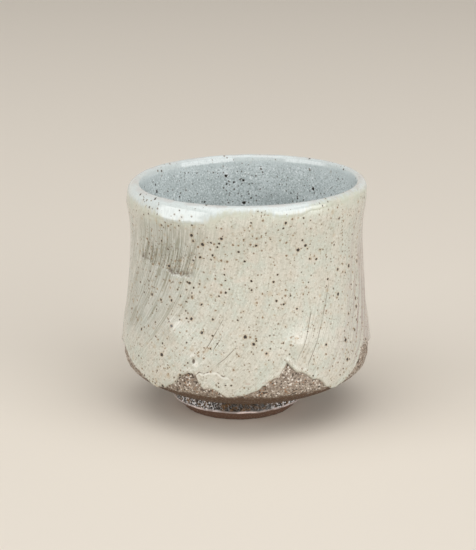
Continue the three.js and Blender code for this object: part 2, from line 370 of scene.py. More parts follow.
class Outline:
    """A half section as (radius, height), read by the distance along it."""

    def __init__(self, points):
        self.points = points
        self.along = np.hstack([0, np.cumsum(np.hypot(*np.diff(points, axis=0).T))])
        ahead = np.gradient(points, self.along, axis=0)
        ahead /= np.hypot(*ahead.T)[:, None]
        self.out = np.column_stack([ahead[:, 1], -ahead[:, 0]])
        self.length = self.along[-1]

    def at(self, along, rise):
        """Radius and height at distances along the outline, raised off it."""
        radius, height = [np.interp(along, self.along, line) for line in self.points.T]
        radius_out, height_out = [np.interp(along, self.along, line) for line in self.out.T]
        return radius + rise * radius_out, height + rise * height_out


outside = curve_through(WALL_OUTSIDE)
roll = arc_about(CREST_RADIUS, ROLL_HEIGHT, ROLL_WIDTH, ROLL_RISE, 0, 90)
crest = arc_about(CREST_RADIUS, MOUTH_HEIGHT, CREST_WIDTH, CREST_DROP, 90, CREST_END)
outer = np.vstack([outside, roll[1:]])
lip = np.vstack([outer, crest[1:]])
wall = Outline(np.vstack([lip, curve_through([lip[-1], *WALL_INSIDE])[1:]]))
foot = Outline(rounded(FOOT_OUTLINE, FOOT_ROUNDING))

# Distances along the wall's outline to the start of the lip's roll, to the crest and to the inside.
ROLL_START = wall.along[len(outside) - 1]
CREST = wall.along[len(outer) - 1]
INSIDE = wall.along[len(lip) - 1]


# Places

def along_at(height):
    """Distance along the wall's outline to a height on its outside."""
    return np.interp(height, outer[:, 1], wall.along[: len(outer)])


def along_edge(angle, edge):
    """Distance along the wall's outline to an edge that is given as (angle, height)."""
    edge_angle, edge_height = np.array(edge).T
    return along_at(np.interp(angle, edge_angle, edge_height, period=360))


def placed(angle, radius, height, shift=0):
    """Points round the axis, shifted to the right. Above the belly they lean up on the right."""
    x = radius * np.sin(np.radians(angle)) + shift
    y = -radius * np.cos(np.radians(angle))
    above = np.clip((height - BELLY_HEIGHT) / (HEIGHT - BELLY_HEIGHT), 0, None)
    return np.stack([x, y, height + RIM_LEAN * above**2 * x / CREST_RADIUS], axis=-1)


def on_wall(angle, along, rise):
    """Points on the wall, by the distance along its outline, raised off it."""
    inward = np.clip((along - ROLL_START) / (INSIDE - ROLL_START), 0, 1)
    return placed(angle, *wall.at(along, rise), HOLLOW_SHIFT * inward)


def on_foot(angle, along, rise):
    """Points on the foot, by the distance along its outline, raised off it."""
    radius, height = foot.at(along, rise)
    return placed(angle, radius, np.clip(height, 0, FOOT_HEIGHT), FOOT_SHIFT)


def columns(count):
    """Angles all round the axis, the front among them."""
    return np.arange(count) * 360 / count


def ring(angle):
    """Points round the axis for noise along an edge."""
    return placed(angle, np.full_like(angle, STROKE_RADIUS), 0 * angle)


def round_wall(angle, middle):
    """Millimetres round the wall from one angle to another."""
    return np.radians(turn_from(angle, middle)) * STROKE_RADIUS


# Meshes

def linked(name, data):
    """A new object in the scene."""
    thing = bpy.data.objects.new(name, data)
    bpy.context.scene.collection.objects.link(thing)
    return thing


def strips(rows, count, looped):
    """Four-sided faces between rows of points round the axis, and their corners on a flat map."""
    index = np.arange(rows * count).reshape(rows, count)
    low = index if looped else index[:-1]
    high = np.roll(index, -1, axis=0) if looped else index[1:]
    faces = np.stack([low, np.roll(low, -1, axis=1), np.roll(high, -1, axis=1), high], axis=-1)
    step = np.stack(np.meshgrid(np.arange(count), np.arange(len(low))), axis=-1)
    flat_map = step[:, :, None, :] + [(0, 0), (1, 0), (1, 1), (0, 1)]
    return faces.reshape(-1, 4).tolist(), flat_map.reshape(-1, 2)


def fans(rows, count):
    """Three-sided faces from the first and last row to a point each on the axis, and their flat map."""
    first = np.arange(count)
    last = first + (rows - 1) * count
    start = np.full(count, rows * count)
    faces = [
        *np.column_stack([start, np.roll(first, -1), first]).tolist(),
        *np.column_stack([last, np.roll(last, -1), start + 1]).tolist(),
    ]
    column = first[:, None]
    start_map = np.stack([column + (0.5, 1, 0), 0 * column + (-1, 0, 0)], axis=-1)
    end_map = np.stack([column + (0, 1, 0.5), 0 * column + (rows - 1, rows - 1, rows)], axis=-1)
    return faces, np.vstack([start_map, end_map]).reshape(-1, 2)


def with_ends(values, looped):
    """Values on rows of points as one list, which ends with the points on the axis if rows don't loop."""
    flat = values.reshape(-1, values.shape[-1])
    return flat if looped else np.vstack([flat, values[[0, -1]].mean(axis=1)])


def woven(name, place, looped, **fields):
    """A mesh over rows of points round the axis. The rows close in a loop, or end in points on the axis.
    Fields are numbers or vectors, one for each point, that the material reads by name."""
    rows, count = place.shape[:2]
    faces, flat_map = strips(rows, count, looped)
    if not looped:
        fan_faces, fan_map = fans(rows, count)
        faces += fan_faces
        flat_map = np.vstack([flat_map, fan_map]) + (0, 1)
    flat_map = flat_map / flat_map.max(axis=0)
    mesh = bpy.data.meshes.new(name)
    mesh.from_pydata((with_ends(place, looped) * MM).tolist(), [], faces)
    mesh.shade_smooth()
    mesh.uv_layers.new(name="OFBake").uv.foreach_set("vector", flat_map.astype(np.float32).ravel())
    for field, values in fields.items():
        flat = with_ends(values.reshape(rows, count, -1), looped)
        kind, entry = ("FLOAT", "value") if flat.shape[1] == 1 else ("FLOAT_VECTOR", "vector")
        layer = mesh.attributes.new(field, kind, "POINT")
        layer.data.foreach_set(entry, flat.astype(np.float32).ravel())
    return linked(name, mesh)


def coat_rows(low, high, brim, face_rows, back_rows):
    """Distances along a coat, up its face, which has the brim's rows at its edge, and down its back."""
    brim = np.array(brim)[:, None]
    share = np.linspace(0, 1, face_rows)[1:, None]
    face = np.vstack([low + brim, low + brim[-1] + (high - low - brim[-1]) * share])
    back = low + (high - low) * np.linspace(1, 0, back_rows)[:, None]
    return face, back


# Marks

def stroke_angle(angle, height):
    """The angle at which the brush stroke through a place would start at the top."""
    drop = np.clip(STROKE_TOP - height, 0, None)
    left_share = hump(angle, LEFT_MIDDLE, LEFT_REACH)
    bend = LEFT_BEND * left_share * drop**2 + STROKE_BEND * (1 - left_share) * drop**3
    return angle + np.degrees((STROKE_LEAN * (STROKE_TOP - height) + bend) / STROKE_RADIUS)


def stroke_place(angle, height):
    """Coordinates that run across the strokes in millimetres and hardly change along them."""
    lead = np.radians(stroke_angle(angle, height))
    across = STROKE_RADIUS * np.stack([np.sin(lead), -np.cos(lead)], axis=-1)
    return np.concatenate([across, STROKE_STRETCH * height[..., None]], axis=-1)


def dry_patch(angle, height):
    """Where the brush ran dry, and the ledge along the lower edge of that, as shares from 0 to 1."""
    lead = stroke_angle(angle, height)
    place = placed(angle, np.full_like(height, STROKE_RADIUS), height)
    ragged = rough(stroke_place(angle, height), DRY_STROKES) + rough(ring(angle), DRY_EDGE)
    ragged = ragged + rough(place, DRY_GRAIN)
    dry = 0
    ledge = 0
    for start, end, start_low, end_low, high, crumbs_start in DRY_PATCHES:
        inward = turn_from(lead, (start + end) / 2) + (end - start) / 2
        low = start_low + (end_low - start_low) * inward / (end - start)
        side = smooth(inward / DRY_START_FADE) * smooth((end - start - inward) / DRY_END_FADE)
        above = height - low + ragged
        lower = smooth(above / DRY_LOW_FADE)
        upper = smooth((high - height) / (DRY_TOP_SHARE * (high - low)))
        dry = np.maximum(dry, side * lower * upper)
        crumbs_and_shade = smooth((inward - crumbs_start + start) / LEDGE_FADE + 0.5)
        ledge = np.maximum(ledge, side * lower * crumbs_and_shade * smooth(1.5 - above / LEDGE_HEIGHT))
    return dry, ledge


def zone(angle, height, zones):
    """How far a place lies in soft-edged zones of the slip, from 0 to 1."""
    lead = stroke_angle(angle, height)
    most = 0
    for middle, reach, low, high, strength in zones:
        band = smooth((height - low) / ZONE_LOW_FADE + 0.5) * smooth((high - height) / ZONE_HIGH_FADE + 0.5)
        most = np.maximum(most, strength * hump(lead, middle, reach) * band)
    return most


def groove_side(angle, height):
    """How far a place lies to the right of the nearest bristle mark, up to a reach."""
    nearest = np.full_like(height, MARK_REACH)
    for marks in GROOVES:
        mark_angle, mark_height = np.array(marks[::-1]).T
        across = round_wall(angle, np.interp(height, mark_height, mark_angle))
        past_end = np.maximum(mark_height[0] - height, height - mark_height[-1])
        faded = np.clip(past_end / GROOVE_FADE + 0.5, 0, 1)
        across = across + np.copysign(MARK_REACH * faded**3, across)
        nearest = np.where(np.abs(across) < np.abs(nearest), across, nearest)
    return nearest


def seam_side(angle, height):
    """How far a place lies above the seam, up to a reach, which holds where the seam isn't."""
    seam_angle, seam_height = np.array(SEAM).T
    turn = turn_from(angle, 0)
    past_end = np.maximum(seam_angle[0] - turn, turn - seam_angle[-1])
    above = height - np.interp(turn, seam_angle, seam_height)
    return np.where(past_end > 0, MARK_REACH, np.clip(above, -MARK_REACH, MARK_REACH))


def seam_crack(angle):
    """How far the seam is cracked open, from 1 on the left to 0 where it is only a line."""
    return smooth((CRACK_END - turn_from(angle, 0)) / CRACK_FADE + 0.5)


def pinhole_side(angle, height):
    """How far from the pinhole's middle a place lies, where 1 is its edge."""
    across = round_wall(angle, PINHOLE_ANGLE) / (PINHOLE_WIDE / 2)
    return np.hypot(across, (height - PINHOLE_HEIGHT) / (PINHOLE_TALL / 2))


def swelling_rise(angle, height):
    """How far the low swellings stand out."""
    away = [np.hypot(round_wall(angle, middle), height - level) for middle, level in SWELLINGS]
    return sum(SWELLING_RISE * bell(distance, SWELLING_RADIUS) for distance in away)


# Coats

def lip_thickening(height):
    """How much thicker the coats are towards the lip."""
    return LIP_THICKENED * smooth((height - LIP_START) / (ROLL_HEIGHT - LIP_START))


def slip_rise(angle, along):
    """How far the slip's face stands off the clay, with waves, brush ridges, marks and sunken dry patches."""
    _, height = wall.at(along, SLIP_RISE)
    across = stroke_place(angle, height)
    waves = rough(on_wall(angle, along, SLIP_RISE), SLIP_WAVES)
    worn = zone(angle, height, WORN_ZONES)
    ridges = rough(across, BRUSH_RIDGES) + worn * rough(across, WORN_RIDGES)
    grooves = section(groove_side(angle, height), GROOVE_SECTION)
    crawl = seam_crack(angle) * section(seam_side(angle, height), SEAM_SECTION)
    crater = section(pinhole_side(angle, height), PINHOLE_SECTION)
    thickened = lip_thickening(height) + section(height, NECK_SECTION)
    marks = grooves + crawl + crater + swelling_rise(angle, height) + thickened
    dry, ledge = dry_patch(angle, height)
    return SLIP_RISE + waves + ridges + marks - DRY_DEPTH * (dry + ledge)


def glaze_end(angle):
    """How far along the outline the lip's glaze ends on the outside."""
    return along_edge(angle, GLAZE_EDGE) + rough(ring(angle), GLAZE_EDGE_ROUGH)


def inner_rise(angle, along):
    """How far the glaze stands off the clay: thick on the lip, with throwing rings and waves below it."""
    _, clay_height = wall.at(along, 0)
    gathered = lip_thickening(clay_height) + section(clay_height, LIP_SECTION)
    gathered = gathered * (1 - smooth((along - CREST + LIP_THINNED_BEFORE) / LIP_THINNED_OVER))
    depth = along - INSIDE
    rings = RING_RISE * np.sin(2 * math.pi * (depth / RING_PITCH + angle / 360)) * smooth(depth / RING_FADE)
    waves = rough(on_wall(angle, along, 0), LINING_WAVES) * smooth(depth / LINING_WAVES_FADE)
    return GLAZE_RISE + gathered + rings + waves


def hung_rise(angle, along, low):
    """How much thicker the lip's glaze is where it hangs, above its lower edge and outside the crest."""
    _, clay_height = wall.at(along, 0)
    hung = sum(most * hump(angle, middle, reach) for middle, reach, most in GLAZE_HUNG)
    hung = hung * smooth((HUNG_TOP - clay_height) / HUNG_HEIGHT)
    return hung * smooth((along - low) / HUNG_FADE) * (along < CREST)


def slip_fields(angle, along, rise):
    """What the slip's colour depends on: strokes, worn places, the painted reflection at the sides, marks
    with a painted glint, and how far up the glaze is.
    """
    _, height = wall.at(along, rise)
    dry, ledge = dry_patch(angle, height)
    return {
        "stroke": stroke_place(angle, height),
        "dry": dry,
        "ledge": ledge,
        "worn": zone(angle, height, WORN_ZONES),
        "painted_reflection": zone(angle, height, PAINTED_REFLECTION_ZONES),
        "groove": groove_side(angle, height),
        "seam": seam_side(angle, height),
        "crack": seam_crack(angle) + 0 * height,
        "pinhole": pinhole_side(angle, height),
        "painted_glint": pinhole_side(angle - PAINTED_GLINT_TURN, height + PAINTED_GLINT_DROP),
        "melt": along - glaze_end(angle),
        "white": along - along_edge(angle, WHITE_EDGE),
    }


# Pieces

def make_slip():
    count, *rows = SLIP_GRID
    angle = columns(count)
    low = along_edge(angle, SLIP_EDGE) + rough(ring(angle), SLIP_EDGE_ROUGH)
    high = glaze_end(angle) + GLAZE_LAP
    face, back = coat_rows(low, high, SLIP_BRIM, *rows)
    along = np.vstack([face, back])
    quarter = np.sqrt(1 - (1 - np.clip((face - low) / SLIP_BRIM[-1], 0, 1)) ** 2)
    face_rise = (slip_rise(angle, face) + section(face - low, SLIP_BEAD) + SUNK) * quarter - SUNK
    rise = np.vstack([face_rise, np.full_like(back, -SUNK)])
    return woven("slip_skin", on_wall(angle, along, rise), True, **slip_fields(angle, along, rise))


def make_rim():
    count, *rows = RIM_GRID
    angle = columns(count)
    low = glaze_end(angle)
    high = INSIDE + GLAZE_DEPTH
    face, back = coat_rows(low, high, RIM_BRIM, *rows)
    along = np.vstack([face, back])
    over_slip = slip_rise(angle, face) - LAP_SUNK + LAP_RISE * smooth((face - low) / RIM_BRIM[-1])
    waves = rough(on_wall(angle, face, 0), RIM_WAVES) * smooth((INSIDE - face) / RIM_WAVES_FADE)
    thinned = THINNED * smooth((face - INSIDE) / GLAZE_DEPTH)
    tucked = TUCK_DEPTH * smooth((face - high) / TUCK_OVER + 1)
    over_clay = inner_rise(angle, face) + waves - thinned - tucked
    left = smooth((face - low - LAP_LEFT_FROM) / LAP_LEFT_OVER)
    face_rise = over_slip * (1 - left) + over_clay * left + hung_rise(angle, face, low)
    rise = np.vstack([face_rise, np.full_like(back, -SUNK)])
    fields = slip_fields(angle, along, rise)
    return woven("rim_glaze_roll", on_wall(angle, along, rise), True, depth=along - INSIDE, **fields)


def make_lining():
    count, face_rows = LINING_GRID
    angle = columns(count)
    start = INSIDE + LINING_START
    brim = start + np.array(LINING_BRIM)
    floor = np.linspace(brim[-1], wall.length - WALL_AXIS_GAP, face_rows)[1:]
    face = np.hstack([brim, floor])[:, None] + 0 * angle
    back = face[::-LINING_BACK_STEP]
    along = np.vstack([back, face])
    thinned = THINNED * (1 - smooth((face - INSIDE) / GLAZE_DEPTH))
    tucked = TUCK_DEPTH * (1 - smooth((face - start) / TUCK_OVER))
    face_rise = inner_rise(angle, face) - thinned - tucked
    rise = np.vstack([np.full_like(back, -SUNK), face_rise])
    return woven("inside_lining", on_wall(angle, along, rise), False, depth=along - INSIDE)


def make_clay():
    count, bare_rows, hidden_rows, under_rows = CLAY_GRID
    angle = columns(count)
    under = np.linspace(UNDER_AXIS_GAP, SEAT_RADIUS, under_rows)[:-1, None] + 0 * angle
    bottom = placed(angle, under, np.full_like(under, FOOT_HEIGHT))
    bare = np.linspace(0, along_at(BARE_TOP), bare_rows)[:-1]
    hidden = np.linspace(along_at(BARE_TOP), wall.length - WALL_AXIS_GAP, hidden_rows)
    along = np.hstack([bare, hidden])[:, None] + 0 * angle
    place = on_wall(angle, along, 0)
    _, height = wall.at(along, 0)
    grain = rough(place, CLAY_GRAIN)
    combed = COMB_DEPTH * np.sin(2 * math.pi * along / COMB_PITCH + rough(place, COMB_WAVER))
    grainy = smooth((height - TURNED_TOP + rough(place, TURNED_EDGE)) / TURNED_FADE)
    shown = smooth((along_at(GRAIN_TOP) - along) / GRAIN_FADE)
    rise = shown * (grain * grainy + (combed - TURNED_DEPTH) * (1 - grainy))
    return woven("clay_wall", np.vstack([bottom, on_wall(angle, along, rise)]), False)


def make_foot():
    count, rows = FOOT_GRID
    angle = columns(count)
    along = np.linspace(FOOT_AXIS_GAP, foot.length - FOOT_AXIS_GAP, rows)[:, None] + 0 * angle
    grain = rough(on_foot(angle, along, 0), FOOT_GRAIN)
    combed = FOOT_COMB_DEPTH * np.sin(2 * math.pi * (along / FOOT_COMB_PITCH + angle / 360))
    return woven("turned_foot", on_foot(angle, along, grain + combed), False)


def make_foot_glaze():
    count, *rows = FOOT_GLAZE_GRID
    angle = columns(count)
    widest = np.argmax(foot.points[:, 0])
    top = np.interp(FOOT_HEIGHT - FOOT_GLAZE_GAP, foot.points[widest:, 1], foot.along[widest:])
    low = foot.along[widest] - FOOT_GLAZE_DROP + rough(ring(angle), FOOT_EDGE)
    face, back = coat_rows(low, top, [0], *rows)
    along = np.vstack([face, back])
    beads = rough(on_foot(angle, face, 0), FOOT_LUMPS) * smooth((face - low) / FOOT_LUMPS_FADE)
    rounding = np.sqrt(np.clip((face - low) / FOOT_BRIM, 0, 1))
    face_rise = (FOOT_GLAZE_RISE + beads + section(face - low, FOOT_BEAD) + SUNK) * rounding - SUNK
    rise = np.vstack([face_rise, np.full_like(back, -SUNK)])
    crystals = sum(hump(angle, middle, reach) for middle, reach in PAINTED_SPARKLE_ZONES) + 0 * along
    place = on_foot(angle, along, rise)
    return woven("foot_glaze_skin", place, True, bead=along - low, crystals=crystals)


# Colours

def screen(red, green, blue):
    """A colour as it shows on a screen, from 0 to 255, as the linear colour that a shader takes."""
    shares = [channel / 255 for channel in (red, green, blue)]
    return (*(c / 12.92 if c <= 0.04045 else ((c + 0.055) / 1.055) ** 2.4 for c in shares), 1)


CREAM = screen(204, 201, 188)
CREAM_COOL = screen(197, 200, 188)
CREAM_WARM = screen(206, 198, 184)
CREAM_PALE = screen(226, 224, 214)
GREY_GREEN = screen(140, 138, 119)
GREY_BROWN = screen(158, 149, 131)
BLUE_GREY = screen(183, 186, 180)
THIN_SLIP = screen(128, 126, 108)
# Brown of slip crumbs and grit, and painted shade in the ledge, the seam's crack and the pinhole.
CRUMB_AND_SHADE_BROWN = screen(90, 75, 59)
# A lilac reflection of the table, painted at the sides.
PAINTED_REFLECTION_LILAC = screen(158, 139, 136)
# Painted shade in the bristle grooves.
GROOVE_SHADE_GREY = screen(126, 120, 104)
SEAM_PINK = screen(184, 166, 152)
IRON = screen(34, 21, 10)
BROWN_SPECK = screen(92, 72, 46)
OCHRE_SPECK = screen(98, 74, 46)
RUST = screen(178, 154, 118)
GLAZE_WHITE = screen(209, 217, 216)
GLAZE_GREEN = screen(196, 200, 184)
LIP_PINK = screen(194, 184, 178)
LINING_BLUE = screen(213, 221, 221)
LINING_DEEP = screen(160, 170, 169)
FLECK_WHITE = screen(238, 243, 243)
CLAY_MID = screen(158, 146, 133)
# The turned band's brown, darkened with painted shade under the belly.
TURNED_BROWN_AND_SHADE = screen(84, 60, 38)
CLAY_FOOT = screen(112, 84, 67)
FOOT_BROWN = screen(32, 21, 10)
FOOT_RUST = screen(106, 72, 30)
# Pale flecks painted on the foot's glaze as sparkling highlights.
FOOT_SPARKLE_WHITE = screen(244, 241, 242)
# Paler glaze on the foot's bead, painted bright as a highlight.
BEAD_HIGHLIGHT_PINK = screen(250, 234, 230)
TABLE = screen(232, 223, 210)
SKY = (0.3, 0.3, 0.3, 1)

# How strongly the glazes reflect, as indices of refraction.
GLAZE_IOR = 1.7
FOOT_GLAZE_IOR = 1.5

# Patches of other shades over a colour: size, detail, noise where they start and are full, strength, shade.
SLIP_MOTTLING = [
    (6, 3, 0.4, 0.62, 1, CREAM_COOL),
    (4.4, 3, 0.5, 0.7, 0.7, CREAM_WARM),
    (0.9, 2, 0.5, 0.72, 0.62, GREY_BROWN),
    (0.5, 2, 0.52, 0.72, 0.65, CREAM_PALE),
]
LINING_MOTTLING = [
    (9, 3, 0.35, 0.65, 0.35, LINING_DEEP),
    (0.6, 2, 0.46, 0.64, 0.8, LINING_DEEP),
    (0.5, 2, 0.56, 0.7, 0.9, FLECK_WHITE),
]
FOOT_MOTTLING = [(1.8, 4, 0.42, 0.68, 1, FOOT_RUST)]

# Specks in the slip and glazes: spacing, share, largest radius, colour, strength, strength of the halo.
SPECKS = [
    (4.4, 0.45, 0.6, BROWN_SPECK, 0, 0.35),
    (1.4, 0.61, 0.31, BROWN_SPECK, 0.75, 0.2),
    (2, 0.46, 0.38, OCHRE_SPECK, 0.8, 0.45),
    (2.2, 0.52, 0.4, IRON, 0.95, 0.35),
    (3.6, 0.54, 0.62, IRON, 1, 0.5),
]
WHITE_FLECKS = (1.05, 0.66, 0.33)
FLECK_STRENGTH = 0.85

# Specks have wandering outlines and gather in clusters. The smallest are a share of the largest radius.
WANDER = 0.55
WANDER_SIZE = 0.5
CLUSTER_SIZE = 11
CLUSTERING = 1.1
SMALLEST_SPECK = 0.45
SPECK_SHARPNESS = 7

# Grains in the bare clay: their size, and colours as (share of grains before it, colour).
GRAIN_SIZE = 0.5
GRAIN_COLOURS = [
    (0, screen(66, 52, 40)),
    (0.14, screen(134, 119, 105)),
    (0.5, CLAY_MID),
    (0.74, screen(180, 168, 154)),
    (0.87, screen(228, 221, 211)),
    (0.94, screen(146, 110, 78)),
]

# Heights over which the browns of the turned band, darkened with painted shade under the belly, and of the
# foot give way upwards, in metres.
BAND_FADE = (16.9 * MM, 18.7 * MM)
BAND_RAGGED = 3 * MM
FOOT_FADE = (8 * MM, 10 * MM)

# How far coordinates are squeezed along the height, which draws noise out into streaks.
UPRIGHT_SQUEEZE = 0.12


class Shader:
    """A material's nodes. Values given for inputs are numbers, colours or other nodes' outputs."""

    def __init__(self, name):
        self.material = bpy.data.materials.new(name)
        self.material.use_nodes = True
        self.tree = self.material.node_tree
        self.surface = self.tree.nodes["Principled BSDF"]
        self.place = self.add("TexCoord").outputs["Object"]

    def fill(self, node, inputs):
        for key, value in inputs.items():
            if isinstance(value, bpy.types.NodeSocket):
                self.tree.links.new(value, node.inputs[key])
            else:
                node.inputs[key].default_value = value

    def add(self, kind, inputs=None, **settings):
        node = self.tree.nodes.new("ShaderNode" + kind)
        for name, value in settings.items():
            setattr(node, name, value)
        self.fill(node, inputs or {})
        return node

    def finish(self, **inputs):
        self.fill(self.surface, {name.replace("_", " "): value for name, value in inputs.items()})
        return self.material

    def field(self, name, output="Fac"):
        return self.add("Attribute", attribute_name=name).outputs[output]

    def upright(self):
        """The object's coordinates in millimetres, drawn out along the height."""
        squeeze = (1 / MM, 1 / MM, UPRIGHT_SQUEEZE / MM)
        return self.add("VectorMath", {0: self.place, 1: squeeze}, operation="MULTIPLY").outputs[0]

    def noise(self, size, place=None, detail=2.0, roughness=0.5):
        """Noise about 0.5 with lumps of a size, over the object or given coordinates."""
        vector, unit = (self.place, MM) if place is None else (place, 1)
        inputs = {"Vector": vector, "Scale": 1 / (size * unit), "Detail": detail, "Roughness": roughness}
        return self.add("TexNoise", inputs).outputs[0]

    def ramp(self, value, low, high, start=0.0, end=1.0):
        inputs = {"Value": value, "From Min": low, "From Max": high, "To Min": start, "To Max": end}
        return self.add("MapRange", inputs, interpolation_type="SMOOTHSTEP").outputs[0]

    def math(self, operation, first, second=0.5, third=0.0, clamp=False):
        inputs = {0: first, 1: second, 2: third}
        return self.add("Math", inputs, operation=operation, use_clamp=clamp).outputs[0]

    def times(self, first, second):
        return self.math("MULTIPLY", first, second)

    def mix(self, share, first, second):
        return self.add("Mix", {0: share, 6: first, 7: second}, data_type="RGBA").outputs[2]

    def mottled(self, colour, patches):
        """A colour with patches of other shades over it."""
        for size, detail, low, high, strength, shade in patches:
            share = self.ramp(self.noise(size, detail=detail), low, high, 0, strength)
            colour = self.mix(share, colour, shade)
        return colour

    def bump(self, height, distance):
        """A normal from a height, where 1 stands that many millimetres high."""
        return self.add("Bump", {"Height": height, "Distance": distance * MM, "Strength": 1}).outputs[0]

    def cells(self, size, place):
        """Cells about a size across: the distance from their middles in sizes, and a number for each cell."""
        node = self.add("TexVoronoi", {"Vector": place, "Scale": 1 / (size * MM)})
        pick = self.add("SeparateColor", {0: node.outputs["Color"]}).outputs[0]
        return node.outputs["Distance"], pick

    def specks(self, spacing, share, largest):
        """Masks of specks in loose clusters and of halos round them."""
        wander_noise = {"Vector": self.place, "Scale": 1 / (WANDER_SIZE * MM), "Detail": 1}
        wander = self.add("TexNoise", wander_noise).outputs[1]
        moves = {0: wander, 1: (WANDER * MM,) * 3, 2: self.place}
        moved = self.add("VectorMath", moves, operation="MULTIPLY_ADD").outputs[0]
        distance, pick = self.cells(spacing, moved)
        centred = self.math("SUBTRACT", pick, CLUSTERING / 2)
        chance = self.math("MULTIPLY_ADD", self.noise(CLUSTER_SIZE), CLUSTERING, centred)
        shown = self.math("GREATER_THAN", chance, 1 - share)
        radius = self.ramp(chance, 1 - share, 1, SMALLEST_SPECK * largest, largest)
        gap = self.times(distance, spacing)
        core = self.math("MULTIPLY_ADD", self.math("SUBTRACT", radius, gap), SPECK_SHARPNESS, 0.5, clamp=True)
        halo = self.math("SUBTRACT", 2, self.math("DIVIDE", gap, radius), clamp=True)
        return self.times(core, shown), self.times(halo, shown)


def speckled(shader, colour, rust=1.0, fewer=0.0):
    """A colour with the specks of iron over it, rusty or black, and fewer by a share."""
    for spacing, share, largest, shade, strength, halo_strength in SPECKS:
        core, halo = shader.specks(spacing, share - fewer, largest)
        rusted = tuple(dark + (light - dark) * rust for dark, light in zip(IRON, shade))
        colour = shader.mix(shader.times(halo, halo_strength * rust), colour, RUST)
        colour = shader.mix(shader.times(core, strength), colour, rusted)
    return colour


def stroked_colour(shader, colour):
    """A colour with brush lines over it, strongest where the slip wore thin, and the lines' height."""
    stroke = shader.field("stroke", "Vector")
    worn = shader.field("worn")
    broad = shader.ramp(shader.noise(3.2, stroke), 0.4, 0.64)
    fine = shader.ramp(shader.noise(0.48, stroke, roughness=0.6), 0.42, 0.58)
    lines = shader.times(fine, shader.math("MULTIPLY_ADD", broad, 0.6, 0.4))
    colour = shader.mix(shader.times(worn, 0.55), colour, BLUE_GREY)
    colour = shader.mix(shader.times(lines, shader.math("MULTIPLY_ADD", worn, 0.75, 0.2)), colour, GREY_GREEN)
    pale = shader.ramp(shader.noise(0.6, stroke), 0.54, 0.68, 0, 0.5)
    colour = shader.mix(shader.times(pale, shader.math("MULTIPLY_ADD", worn, 0.2, 0.3)), colour, CREAM_PALE)
    # Lilac streaks at the sides: a painted reflection of the table.
    streaks = shader.ramp(shader.noise(1.1, stroke, detail=3), 0.42, 0.58, 0.1, 0.85)
    colour = shader.mix(shader.times(shader.field("painted_reflection"), streaks), colour, PAINTED_REFLECTION_LILAC)
    return colour, fine


def dried_colour(shader, colour):
    """A colour with bare lines and grit where the brush ran dry, and crumbs with painted shade on the ledge
    below that.
    """
    dry = shader.field("dry")
    stroke = shader.field("stroke", "Vector")
    bare_lines = shader.ramp(shader.noise(0.6, stroke), 0.39, 0.51, 1, 0.05)
    colour = shader.mix(shader.times(dry, bare_lines), colour, THIN_SLIP)
    patchy = shader.ramp(shader.noise(1.1, detail=3), 0.43, 0.53, 0.15, 1)
    # Crumbs of slip along the ledge, with painted shade there.
    crumbs_and_shade = shader.times(shader.field("ledge"), patchy)
    grit = shader.times(dry, shader.ramp(shader.noise(0.7), 0.56, 0.64, 0, 0.6))
    return shader.mix(shader.math("MAXIMUM", crumbs_and_shade, grit), colour, CRUMB_AND_SHADE_BROWN)


def marked_colour(shader, colour):
    """A colour with the bristle marks, the seam and the pinhole over it, with painted shade in them and
    painted highlights below the seam and the pinhole.
    """
    crack = shader.field("crack")
    seam = shader.field("seam")
    # Pale crawled glaze below the seam, strengthened as a painted highlight.
    crawled_and_highlight = shader.ramp(shader.math("ABSOLUTE", shader.math("ADD", seam, 0.6)), 0.1, 0.6, 0.6, 0)
    colour = shader.mix(shader.times(crawled_and_highlight, crack), colour, CREAM_PALE)
    # The grooves' dark grey lines are painted shade.
    groove_marks = shader.ramp(shader.noise(5), 0.36, 0.5, 0.45, 0.95)
    seam_marks = shader.ramp(shader.noise(2.2), 0.48, 0.58, 0.05, 0.85)
    # The seam is a pink line, and dark brown painted shade where it is cracked open.
    seam_shade = shader.mix(crack, SEAM_PINK, CRUMB_AND_SHADE_BROWN)
    marks = [(shader.field("groove"), 0.3, groove_marks, GROOVE_SHADE_GREY), (seam, 0.36, seam_marks, seam_shade)]
    for side, width, broken, shade in marks:
        mark = shader.ramp(shader.math("ABSOLUTE", side), 0.05, width, 1, 0)
        colour = shader.mix(shader.times(mark, broken), colour, shade)
    # A painted highlight at the pinhole's lower right.
    colour = shader.mix(shader.ramp(shader.field("painted_glint"), 0.9, 1.7, 0.9, 0), colour, CREAM_PALE)
    # The pinhole's dark middle is painted shade.
    return shader.mix(shader.ramp(shader.field("pinhole"), 0.7, 1.1, 0.9, 0), colour, CRUMB_AND_SHADE_BROWN)


def brushed_colour(shader):
    """The slip's colour without specks, and the height of its brush lines."""
    colour, lines = stroked_colour(shader, shader.mottled(CREAM, SLIP_MOTTLING))
    return marked_colour(shader, dried_colour(shader, colour)), lines


def melted_colour(shader, colour):
    """The slip's colour with the lip's glaze over it: greenish at the glaze's end and white above."""
    patchy = shader.ramp(shader.noise(6), 0.35, 0.65, 0.4, 1)
    green = shader.times(shader.ramp(shader.field("melt"), -2.4, 1.2), patchy)
    colour = shader.mix(shader.times(green, 0.85), colour, GLAZE_GREEN)
    upright = shader.upright()
    ragged = shader.math("MULTIPLY_ADD", shader.noise(1.1, upright, detail=3), 4, -2)
    white = shader.ramp(shader.math("ADD", shader.field("white"), ragged), -1.2, 1.2)
    frost = shader.ramp(shader.noise(0.5, upright, detail=3), 0.46, 0.66, 0, 0.25)
    return shader.mix(white, colour, shader.mix(frost, GLAZE_WHITE, LINING_DEEP))


